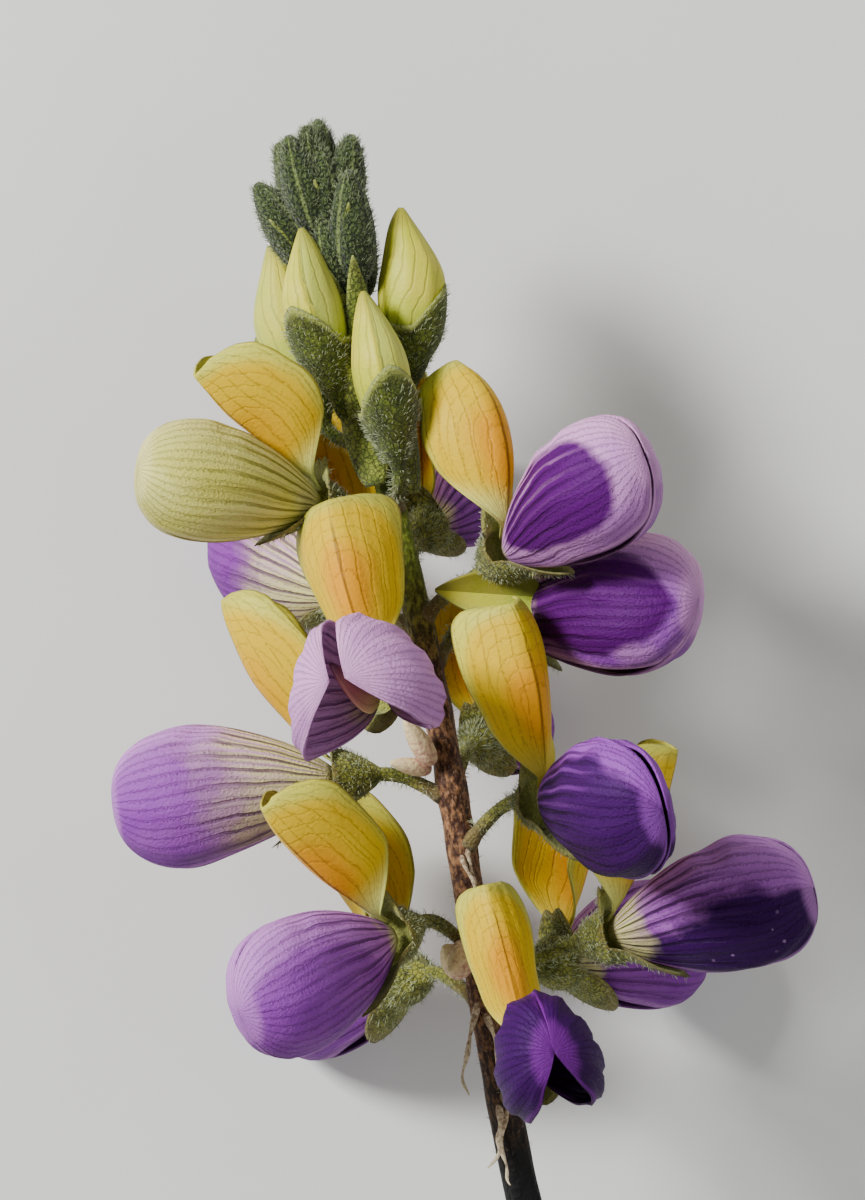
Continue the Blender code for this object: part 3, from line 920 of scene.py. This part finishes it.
def wing_material(name, look):
    """Cream claw, veins that fan out, a dark area with a wandering edge that is painted shade in the wing's hollow,
    a pale seam and rim that are a painted highlight, and painted shade towards the lower edge.
    """
    paint = Paint(name)
    along, turn, _ = paint.petal()
    cloud = paint.speckle(0.35, detail=3.0)
    grain = paint.speckle(5.0)
    wander = (cloud - 0.5) * 0.35
    # The dark area and its outline are painted shade in the wing's hollow.
    at_along, at_turn, length, height = look.patch
    from_hollow_shade = (((along - at_along) / length) ** 2.0 + ((turn - at_turn) / height) ** 2.0) ** 0.5
    patch = (from_hollow_shade + wander).step(1.04, 0.9)
    outline = (from_hollow_shade + wander - 0.99).abs().step(0.06, 0.01) * patch.at_least(0.45)
    fan = turn * 70.0 + along * 6.0 + (cloud - 0.5) * 3.5
    reach = (cloud - 0.5) * 0.5 + along
    veins = fan.sin().step(0.55, 0.97) * reach.step(0.85, 0.3) * along.step(0.03, 0.12)
    fine_veins = (turn * 118.0 + along * 16.0 + (grain - 0.5) * 5.0).sin().step(0.6, 1.0)
    paint.body = paint.mix((turn + wander).step(0.05, 0.55), look.pale, look.body)
    paint.coat((cloud + grain * 0.3).step(0.45, 0.85) * 0.5, look.pale)
    # Painted shade in the wing's hollow.
    paint.coat(patch * look.strength, look.deep)
    paint.coat((along + wander * 1.3).step(look.cream * 1.2, look.cream * 0.3), CREAM)
    dark = tuple(channel * 0.35 for channel in look.deep[:3]) + (1.0,)
    paint.coat(veins * 0.75, dark)
    pleats = (fan + 3.1).sin().step(0.5, 0.95) * reach.step(0.9, 0.25) * turn.step(0.62, 0.3)
    paint.coat(pleats * 0.7, look.pale)
    # Painted shade: darker towards the lower edge, on the wing's underside.
    paint.coat(turn.step(0.4, 0.95) * 0.42, dark)
    paint.coat(fine_veins * 0.22, dark)
    # Painted shade along the edge of the dark area.
    paint.coat(outline * look.strength * 0.5, dark)
    if look.flecks:
        flecks = paint.cells(0.9).step(0.14, 0.08) * along.step(0.3, 0.6) * cloud.step(0.42, 0.56)
        paint.coat(flecks * look.flecks, paint_of(198, 150, 206))
    # Painted highlight: a pale rim along the seam, the tip and the lower edge.
    rim = turn.step(0.93, 0.97).at_least(along.step(0.955, 0.985)).at_least(turn.step(0.035, 0.012))
    paint.coat(rim * 0.55, look.pale)
    edge = turn.step(0.982, 0.995)
    paint.coat(edge * 0.6, dark)
    height_field = veins * -0.6 + fine_veins * -0.25 + grain * 0.35 + cloud * 0.4
    return paint.surface(
        grain * 0.2 + 0.45, paint.relief(height_field, 0.9, 0.26),
        Subsurface_Weight=0.04, Subsurface_Radius=(0.001, 0.0004, 0.001), Specular_IOR_Level=0.12,
    )


def banner_material(name, warm, base_pale):
    """Gold with an orange heart, paler green-yellow margins and fine lines that follow the outline."""
    paint = Paint(name)
    along, across, _ = paint.petal()
    off = across.abs()
    cloud = paint.speckle(0.3, detail=3.0)
    grain = paint.speckle(4.0, detail=3.0)
    wander = (cloud - 0.5) * 0.5
    heart = ((off / 0.62) ** 2.0 + ((along - 0.5) / 0.36) ** 2.0) ** 0.5 + wander
    margin = ((off / 1.0) ** 2.5 + ((along - 0.48) / 0.55) ** 2.5) ** 0.5 + wander * 0.5
    paint.body = paint.mix(heart.step(0.95, 0.3) * warm, paint_of(212, 176, 4), paint_of(216, 148, 0))
    paint.coat(margin.step(0.74, 1.02), paint_of(198, 194, 70))
    paint.coat(along.step(0.34, 0.1) * base_pale, paint_of(198, 204, 112))
    paint.coat(along.step(0.9, 1.0) * 0.5, paint_of(178, 176, 70))
    contours = ((margin + grain * 0.05) * 44.0).sin().step(0.8, 0.99)
    veins = (across * 34.0 + along * 2.0 + (cloud - 0.5) * 6.0).sin().step(0.86, 0.99)
    lines = (contours * 0.2).at_least(veins * 0.3) * grain.step(0.38, 0.5)
    umber = paint_of(84, 50, 2)
    paint.coat(lines, umber)
    paint.coat(grain.step(0.6, 0.75) * 0.22, umber)
    # Painted shade: a dark line down the middle, in the crease of the banner's groove.
    midline = off.step(0.035, 0.008) * along.step(0.05, 0.2) * along.step(0.97, 0.75)
    paint.coat(midline * 0.6, umber)
    paint.coat(off.step(0.965, 0.99) * 0.5, umber)
    height_field = contours * -0.3 + veins * -0.4 + grain * 0.5 + cloud * 0.6
    return paint.surface(
        grain * 0.2 + 0.45, paint.relief(height_field, 0.5, 0.16),
        Subsurface_Weight=0.06, Subsurface_Radius=(0.0012, 0.0008, 0.0001), Sheen_Weight=0.03,
        Sheen_Roughness=0.4, Specular_IOR_Level=0.18,
    )


def keel_material():
    paint = Paint("keel_pale_pink")
    along, turn, _ = paint.petal()
    grain = paint.speckle(4.0, detail=3.0)
    reddened = (along + grain * 0.2).step(0.3, 0.9)
    paint.body = paint.mix(reddened, paint_of(206, 180, 112), paint_of(170, 96, 92))
    paint.coat(along.step(0.85, 1.0) * 0.8, paint_of(96, 44, 84))
    stripes = ((turn * 12.0 + along * 6.0).sin()).step(0.6, 1.0)
    paint.coat(stripes * 0.35, paint_of(132, 88, 66))
    return paint.surface(
        0.5, paint.relief(grain, 0.4, 0.1), Subsurface_Weight=0.12,
        Subsurface_Radius=(0.001, 0.0006, 0.0005),
    )


def calyx_material(name, light, dark, blush, rim):
    """Felted green netted with dark lines: rims pale by rim, sepal tips brownish by blush."""
    paint = Paint(name)
    along, turn, inside = paint.petal()
    grain = paint.speckle(7.0, detail=4.0, roughness=0.7)
    cloud = paint.speckle(0.9)
    cell = paint.cells(5.0)
    paint.body = paint.mix((cloud + grain * 0.4).step(0.45, 0.95), dark, light)
    paint.coat(paint.network(2.8, 0.02, 0.16) * 0.7, paint_of(26, 32, 8))
    paint.coat(along.step(0.86, 0.97) * rim, paint_of(176, 186, 92))
    paint.coat(along.step(0.72, 1.0) * blush, paint_of(112, 84, 48))
    paint.coat(along.step(-0.35, -0.95) * 0.7, paint_of(116, 92, 62))
    paint.coat(inside * 0.5, paint_of(176, 180, 96))
    return paint.surface(
        0.85, paint.relief(grain * 0.7 + cell * 0.6, 0.9, 0.2), Sheen_Weight=0.2,
        Sheen_Roughness=0.5, Sheen_Tint=(0.9, 0.95, 0.8, 1.0), Specular_IOR_Level=0.2,
    )


def bud_material():
    paint = Paint("bud_petals_pale_green")
    along, past, _ = paint.petal()
    grain = paint.speckle(4.0, detail=3.0)
    cloud = paint.speckle(0.5, detail=3.0)
    yellowed = (cloud + along * 0.2).step(0.35, 0.8)
    paint.body = paint.mix(yellowed, paint_of(184, 190, 40), paint_of(204, 196, 62))
    paint.coat(along.step(0.5, 0.15) * 0.7, paint_of(148, 166, 56))
    paint.coat(past.step(0.5, 0.98) * 0.5, paint_of(160, 178, 88))
    paint.coat(along.step(0.8, 1.0) * 0.5, paint_of(136, 132, 40))
    lines = ((past * 88.0 + (cloud - 0.5) * 6.0 + along * 5.0).sin()).step(0.75, 0.99)
    # Dark olive for the lines and grain, and for the painted shade along the overlap seam.
    dark_olive_and_seam_shade = paint_of(84, 80, 18)
    paint.coat(lines * 0.26, dark_olive_and_seam_shade)
    # Painted shade: a dark line along both edges of the wrap, where one edge overlaps the other.
    paint.coat(past.step(0.985, 0.998).at_least(past.step(0.012, 0.002)) * 0.7, dark_olive_and_seam_shade)
    paint.coat(grain.step(0.6, 0.8) * 0.3, dark_olive_and_seam_shade)
    return paint.surface(
        0.5, paint.relief(lines * -0.5 + grain * 0.6, 0.5, 0.14), Subsurface_Weight=0.08,
        Subsurface_Radius=(0.001, 0.001, 0.0002), Sheen_Weight=0.08, Specular_IOR_Level=0.25,
    )


def tip_material():
    """Dark green felt netted with black, paler along the grooves."""
    paint = Paint("tip_felt")
    along, groove, _ = paint.petal()
    grain = paint.speckle(6.0, detail=4.0, roughness=0.7)
    cell = paint.cells(4.5)
    paint.body = paint.mix((grain + along * 0.3).step(0.35, 0.8), paint_of(30, 42, 14), paint_of(74, 90, 42))
    paint.coat(paint.network(2.6, 0.02, 0.2) * 0.85, paint_of(16, 24, 10))
    paint.coat(groove.abs().step(0.2, 0.05) * 0.4, paint_of(150, 168, 92))
    return paint.surface(
        0.9, paint.relief(grain * 0.6 + cell * 0.8, 1.0, 0.22), Sheen_Weight=0.25,
        Sheen_Roughness=0.5, Specular_IOR_Level=0.15,
    )


def stem_material():
    """Almost black maroon at the cut, mottled maroon-brown above, green between the buds."""
    paint = Paint("stem_skin")
    along, turn, pith = paint.petal()
    grain = paint.speckle(3.0, detail=4.0, roughness=0.7, stretch=(1.0, 0.45, 1.0))
    cell = paint.cells(2.6)
    mottle = paint.mix(grain.step(0.42, 0.66), paint_of(58, 34, 24), paint_of(150, 108, 72))
    green = paint.mix(grain.step(0.35, 0.7), paint_of(70, 84, 18), paint_of(136, 150, 48))
    paint.body = paint.mix(along.step(0.36, 0.2), mottle, paint_of(5, 6, 5))
    paint.coat((along + grain * 0.12).step(0.68, 0.82), green)
    paint.coat(cell.step(0.22, 0.05) * 0.6, paint_of(36, 22, 20))
    paint.coat(pith, paint_of(196, 190, 140))
    return paint.surface(
        grain * 0.25 + 0.5, paint.relief(grain * 0.8 + cell * 0.5, 0.8, 0.25),
        Sheen_Weight=0.03, Specular_IOR_Level=0.2,
    )


def hair_material(name, root, tip):
    paint = Paint(name)
    along, tint, _ = paint.petal()
    paint.body = paint.mix(along * 0.7 + tint * 0.3, root, tip)
    return paint.surface(0.6, Specular_IOR_Level=0.3)


def dried_material(name, dark, pale):
    paint = Paint(name)
    along, _, _ = paint.petal()
    grain = paint.speckle(4.0, detail=3.0)
    paint.body = paint.mix((grain + along * 0.3).step(0.35, 0.8), dark, pale)
    return paint.surface(0.8, paint.relief(grain, 0.7, 0.12))


# ---- pieces


def make_flower(flower, look, calyx, hair, keel):
    matrix = flower_frame(flower)
    name = flower.name
    warm = ORANGE_SHARES.get(name, 1.0)
    petals = wing_material(name + "_wing_colours", look)
    for side, word in ((1, "left"), (-1, "right")):
        shape = in_frame(matrix, wing_point(flower, look, side))
        points, faces, places = grid(WING_ROWS, WING_COLUMNS, shape)
        if side < 0:
            faces = [tuple(reversed(face)) for face in faces]
        piece = f"{name}_wing_{word}"
        put_in_scene(piece, points, faces, places, petals, "wings", PETAL_WALL, [name + "_wings"])
    gold = banner_material(name + "_banner_gold", warm, 1.0 if name in PALE_BASED else 0.35)
    blade = grid(*BANNER_GRID, in_frame(matrix, banner_point(flower, look)))
    put_in_scene(name + "_standard", *blade, gold, "banner", PETAL_WALL, [name + "_banner"])
    boat = grid(*KEEL_GRID, in_frame(matrix, keel_point), rolled=True, ends=True)
    put_in_scene(
        name + "_keel_petals", *boat, keel, "keel",
        replaces=[name + "_keel"] if name in CAD_KEELS else (),
    )
    path = pedicel_path(matrix, flower.height, flower.side, PEDICEL_DROP)
    lower_lip = FRONT_LOWER_LIP if flower.splay else LOWER_LIP

    def length_at(angle):
        return sepal_length(angle, lower_lip)

    make_calyx(name, matrix, path, calyx_skin, length_at, CUP_INNER_START, calyx, hair, look.seed)


def make_calyx(name, matrix, path, skin, length_at, inner_start, material, hair, seed):
    rings = CALYX_RINGS
    shape = calyx_point(matrix, path, skin, length_at, inner_start, rings)
    cup = grid(sum(rings), CALYX_SEGMENTS, shape, rolled=True, ends=True)
    put_in_scene(name + "_cup", *cup, material, "calyx", replaces=[name + "_calyx"])

    def on_cup(u, v):
        angle = 2 * math.pi * v
        return matrix @ skin(length_at(angle) * u, angle, 0.0)

    def on_stalk(u, v):
        ring = min(round(u * rings[0]), rings[0] - 1)
        return shape(ring / sum(rings), v)[0]

    spots = hairs_on(on_cup, CUP_HAIRS, seed, CUP_HAIR_LENGTH, 0.8, (0.05, 0.97))
    for t, v, length in stalk_hairs(seed):
        here = on_stalk(t, v)
        spots.append((here, here - path(t), length))
    put_in_scene(name + "_cup_hairs", *hair_tuft(spots, seed), hair, "calyx")


def stalk_hairs(seed):
    shake = random.Random(seed + 100)
    for _ in range(STALK_HAIRS):
        yield shake.uniform(0.1, 0.95), shake.random(), shake.uniform(0.25, 0.6)


def make_bud(bud, index, petals, calyx, hair):
    matrix = bud_frame(bud.height, bud.side, bud.reach, bud.lean, bud.size)
    seed = index * 1.9
    folded = grid(*BUD_GRID, in_frame(matrix, bud_petal_point(seed)), rolled=True, ends=True)
    put_in_scene(
        bud.name + "_folded_banner", *folded, petals, "bud_petals", replaces=[bud.name + "_petals"]
    )
    path = pedicel_path(matrix, bud.height, bud.side, BUD_PEDICEL_DROP)
    make_calyx(
        bud.name, matrix, path, bud_skin, bud_sepal_length, BUD_INNER_START, calyx, hair, 40 + index
    )


def make_tip(felt, hair, leaf):
    for index, (height, side, reach, lean, length, width) in enumerate(TIP_BUDS + FILLING_BUDS):
        matrix = bud_frame(height, side, reach, lean, 1.0)
        shape = in_frame(matrix, tip_bud_point(length, width, index * 1.3))
        put_in_scene(
            f"tip_bud_{index}", *grid(*TIP_BUD_GRID, shape, rolled=True, ends=True), felt, "tip_buds",
            replaces=["tip_buds"] if index < len(TIP_BUDS) else (),
        )
        spots = hairs_on(
            lambda u, v: shape(u, v)[0], FELT_HAIRS, 70 + index, FELT_HAIR_LENGTH, 0.6, (0.04, 0.97)
        )
        put_in_scene(f"tip_bud_{index}_hairs", *hair_tuft(spots, index), hair, "tip_buds")
    for index, (height, side, reach, lean, length, width) in enumerate(BRACTS):
        matrix = bud_frame(height, side, reach, lean, 1.0)
        blade = grid(*BRACT_GRID, in_frame(matrix, bract_point(length, width, -0.05)))
        put_in_scene(f"bract_{index}", *blade, leaf, "tip_buds", BRACT_WALL)


def make_stem(material, hair):
    def point(u, v):
        height = STEM_CUT + (STEM_TOP - STEM_CUT) * u
        angle = 2 * math.pi * v
        joints = sum(near(height - at, 1.2) for at in JOINTS)
        ribs = 0.035 * math.cos(5 * angle + 0.15 * height) + 0.015 * math.cos(13 * angle - 0.2 * height)
        lumps = 0.05 * noise.noise(Vector((math.cos(angle), math.sin(angle), height * 0.35)))
        radius = stem_radius(height) * (1 + ribs + lumps + 0.07 * min(joints, 1.5))
        return stem_axis(height) + radius * outward(v * 360), (u, v, 0.0)

    points, faces, places = grid(STEM_RINGS, STEM_SEGMENTS, point, rolled=True)
    rim = len(points)
    middle = stem_axis(STEM_CUT)
    for share, pith in ((0.8, 0.3), (0.45, 1.0)):
        for j in range(STEM_SEGMENTS):
            points.append(middle + (points[j] - middle) * share + Vector((0, 0.12 * (1 - share), 0)))
            places.append((0.0, j / STEM_SEGMENTS, pith))
    points.append(middle + Vector((0, 0.12, 0)))
    places.append((0.0, 0.0, 1.0))
    core = rim + STEM_SEGMENTS
    for j in range(STEM_SEGMENTS):
        k = (j + 1) % STEM_SEGMENTS
        faces.append((j, k, rim + k, rim + j))
        faces.append((rim + j, rim + k, core + k, core + j))
        faces.append((core + j, core + k, core + STEM_SEGMENTS))
    faces.append(tuple(reversed(range(rim - STEM_SEGMENTS, rim))))
    put_in_scene("stem_fine", points, faces, places, material, "stem", replaces=["stem"])
    spots = hairs_on(lambda u, v: point(u, v)[0], STEM_HAIRS, 5, STEM_HAIR_LENGTH, 0.4, (0.22, 0.99))
    put_in_scene("stem_hairs", *hair_tuft(spots, 6, STEM_HAIR_RADIUS), hair, "stem")


def make_remains(material):
    for index, (height, side, reach, lean, length, width) in enumerate(REMAINS):
        matrix = bud_frame(height, side, reach, lean, 1.0)
        shape = in_frame(matrix, tip_bud_point(length, width, index * 2.1))
        scrap = grid(*SCRAP_GRID, shape, rolled=True, ends=True)
        put_in_scene(f"withered_bud_{index}", *scrap, material, "calyx")


def make_folds(material):
    for index, (start, end, width, curl) in enumerate(FOLDS):
        way = Vector(end) - Vector(start)
        matrix = aim(Vector(start), way.normalized(), Vector((0, 0, 1)), 0.0, 1.0)
        fold = grid(*FOLD_GRID, in_frame(matrix, bract_point(way.length, width, curl)))
        put_in_scene(f"pale_fold_{index}", *fold, material, "banner", PETAL_WALL)


def make_strands(material):
    for index, (height, side, way, curl, length, thickness) in enumerate(STRANDS):
        start = stem_axis(height) + (stem_radius(height) - 0.1) * outward(side)
        way = Vector(way).normalized()
        bend = way.orthogonal().normalized()

        def path(t, start=start, way=way, bend=bend, curl=curl, length=length, index=index):
            swing = curl * math.sin(2.6 * t + index) - curl * math.sin(index)
            kink = 0.25 * math.sin(11 * t + index) * t
            return start + length * t * way * (1 - 0.25 * t) + (swing + kink) * bend

        def radius(t, thickness=thickness):
            return thickness * (0.35 + 0.65 * (1 - t)) * (1 + 0.3 * math.sin(17 * t))

        put_in_scene(f"dried_strand_{index}", *tube(path, radius, *STRAND_GRID), material, "calyx")


def make_room():
    floor_mesh = bpy.data.meshes.new("floor")
    corners = [(x * FLOOR_HALF, y * FLOOR_HALF, 0) for x, y in ((-1, -1), (1, -1), (1, 1), (-1, 1))]
    floor_mesh.from_pydata(corners, [], [(0, 1, 2, 3)])
    floor = bpy.data.objects.new("floor", floor_mesh)
    bpy.context.scene.collection.objects.link(floor)
    paint = Paint("floor_pale")
    grain = paint.speckle(0.05)
    paint.body = paint.mix(grain, paint_of(214, 214, 210), paint_of(222, 222, 218))
    floor_mesh.materials.append(paint.surface(0.9))
    floor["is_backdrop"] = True
    for name, (place, size, power) in LAMPS.items():
        lamp = bpy.data.lights.new(name, "AREA")
        lamp.size = size
        lamp.energy = power
        light = bpy.data.objects.new(name, lamp)
        light.location = place
        aim_at = Vector(LAMPS_AIM) - Vector(place)
        light.rotation_euler = aim_at.to_track_quat("-Z", "Y").to_euler()
        bpy.context.scene.collection.objects.link(light)
    world = bpy.data.worlds.new("studio")
    world.use_nodes = True
    backdrop = world.node_tree.nodes["Background"]
    backdrop.inputs["Color"].default_value = SKY_COLOUR
    backdrop.inputs["Strength"].default_value = SKY_STRENGTH
    bpy.context.scene.world = world


def make_camera():
    data = bpy.data.cameras.new("camera")
    data.lens = CAMERA_LENS
    data.sensor_fit = "VERTICAL"
    data.sensor_height = CAMERA_SENSOR
    data.clip_start = 0.01
    camera = bpy.data.objects.new("camera", data)
    camera.location = (Vector(CAMERA_PLACE) - SHIFT) * MM
    camera.rotation_euler = (0.0, 0.0, -math.radians(CAMERA_TURN))
    bpy.context.scene.collection.objects.link(camera)
    bpy.context.scene.camera = camera


def main():
    make_camera()
    make_room()
    calyx = calyx_material("calyx_green", paint_of(146, 146, 58), paint_of(88, 92, 24), 0.5, 0.15)
    bud_calyx = calyx_material("bud_calyx_olive", paint_of(100, 112, 28), paint_of(56, 66, 14), 0.1, 0.7)
    hair = hair_material("silvery_hair", paint_of(92, 104, 44), paint_of(214, 220, 184))
    stem_hair = hair_material("stem_hair", paint_of(70, 52, 42), paint_of(176, 160, 142))
    keel = keel_material()
    for flower in FLOWERS:
        make_flower(flower, LOOKS[flower.name], calyx, hair, keel)
    petals = bud_material()
    for index, bud in enumerate(BUDS):
        make_bud(bud, index, petals, bud_calyx, hair)
    leaf = calyx_material("bract_green", paint_of(150, 160, 66), paint_of(92, 106, 34), 0.1, 0.7)
    felt_hair = hair_material("felt_hair", paint_of(44, 56, 24), paint_of(164, 176, 132))
    make_tip(tip_material(), felt_hair, leaf)
    make_stem(stem_material(), stem_hair)
    make_strands(dried_material("dried_strand", paint_of(120, 92, 66), paint_of(206, 190, 158)))
    make_folds(petals)
    make_remains(dried_material("withered_petal", paint_of(176, 124, 110), paint_of(222, 200, 150)))
    sizes = {name: [list(corner) for corner in box] for name, box in (("cad", cad_box), ("visual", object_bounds()))}


main()
